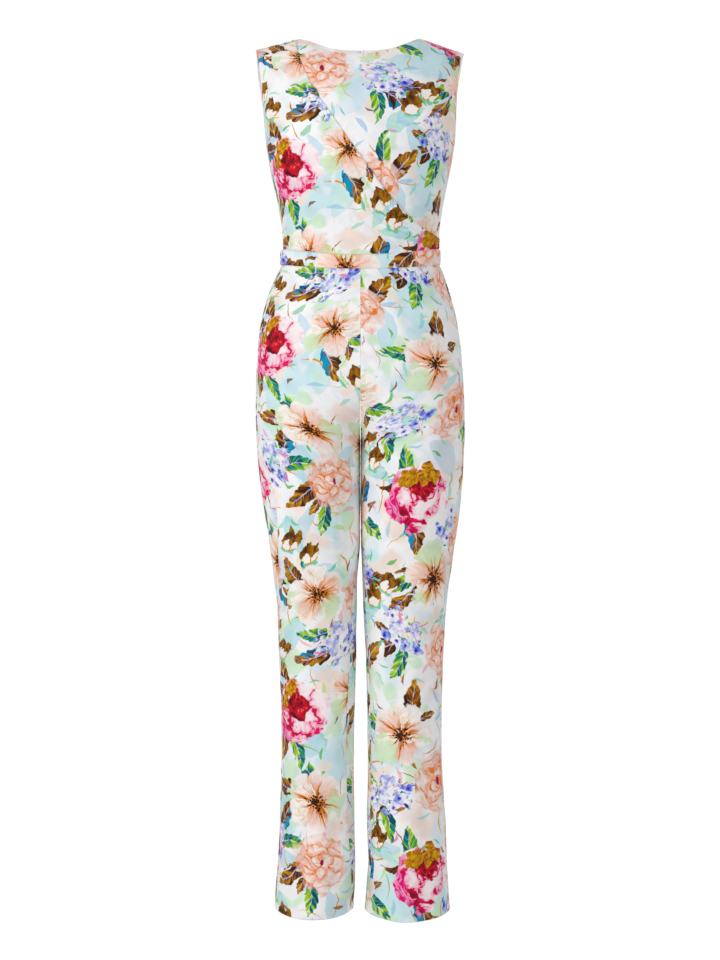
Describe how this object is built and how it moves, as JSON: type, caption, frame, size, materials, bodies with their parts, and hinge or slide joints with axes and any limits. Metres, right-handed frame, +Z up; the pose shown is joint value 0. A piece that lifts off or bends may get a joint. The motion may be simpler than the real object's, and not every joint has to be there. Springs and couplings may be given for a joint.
{
  "type": "jumpsuit",
  "caption": "Sleeveless jumpsuit with a wrap-front bodice, a waistband and straight trouser legs, hollow and in the shape that it keeps when it is worn.",
  "frame": {"origin": "midway between the neck ends of the two shoulder seams, where a wearer's shoulders carry it", "axes": "+Z up along the body, +X to the wearer's left, -Y out of the front and +Y out of the back"},
  "size_m": [0.3556, 0.2608, 1.484],
  "materials": {
    "bodice_front_wrap": "smooth woven crepe printed with loose watercolour flowers on white",
    "bodice_front_under": "smooth woven crepe printed with loose watercolour flowers on white",
    "bodice_back_left": "smooth woven crepe printed with loose watercolour flowers on white",
    "bodice_back_right": "smooth woven crepe printed with loose watercolour flowers on white",
    "waistband_front": "smooth woven crepe printed with loose watercolour flowers on white",
    "waistband_back_left": "smooth woven crepe printed with loose watercolour flowers on white",
    "waistband_back_right": "smooth woven crepe printed with loose watercolour flowers on white",
    "trouser_front_left": "smooth woven crepe printed with loose watercolour flowers on white",
    "trouser_front_right": "smooth woven crepe printed with loose watercolour flowers on white",
    "trouser_back_left": "smooth woven crepe printed with loose watercolour flowers on white",
    "trouser_back_right": "smooth woven crepe printed with loose watercolour flowers on white",
    "zip_tape": "plain woven zip tape, off-white",
    "zip_slider": "bright nickel-plated wire and castings",
    "zip_pull": "bright nickel-plated wire and castings",
    "neck_hook": "bright nickel-plated wire and castings",
    "neck_eye": "bright nickel-plated wire and castings"
  },
  "bodies": {
    "garment": {"bodice_front_wrap": "bodice_front_wrap", "bodice_front_under": "bodice_front_under", "bodice_back_left": "bodice_back_left", "bodice_back_right": "bodice_back_right", "waistband_front": "waistband_front", "waistband_back_left": "waistband_back_left", "waistband_back_right": "waistband_back_right", "trouser_front_left": "trouser_front_left", "trouser_front_right": "trouser_front_right", "trouser_back_left": "trouser_back_left", "trouser_back_right": "trouser_back_right", "zip_tape": "zip_tape", "zip_slider": "zip_slider", "neck_hook": "neck_hook", "neck_eye": "neck_eye"},
    "pull_tab": {"zip_pull": "zip_pull"}
  },
  "joints": [
    {"name": "zip_pull_hinge", "type": "hinge", "parent": "garment", "child": "pull_tab", "pos_m": [0, 0.08602, -0.03083], "axis": [1, 0, 0], "range_deg": [0, 150]}
  ]
}
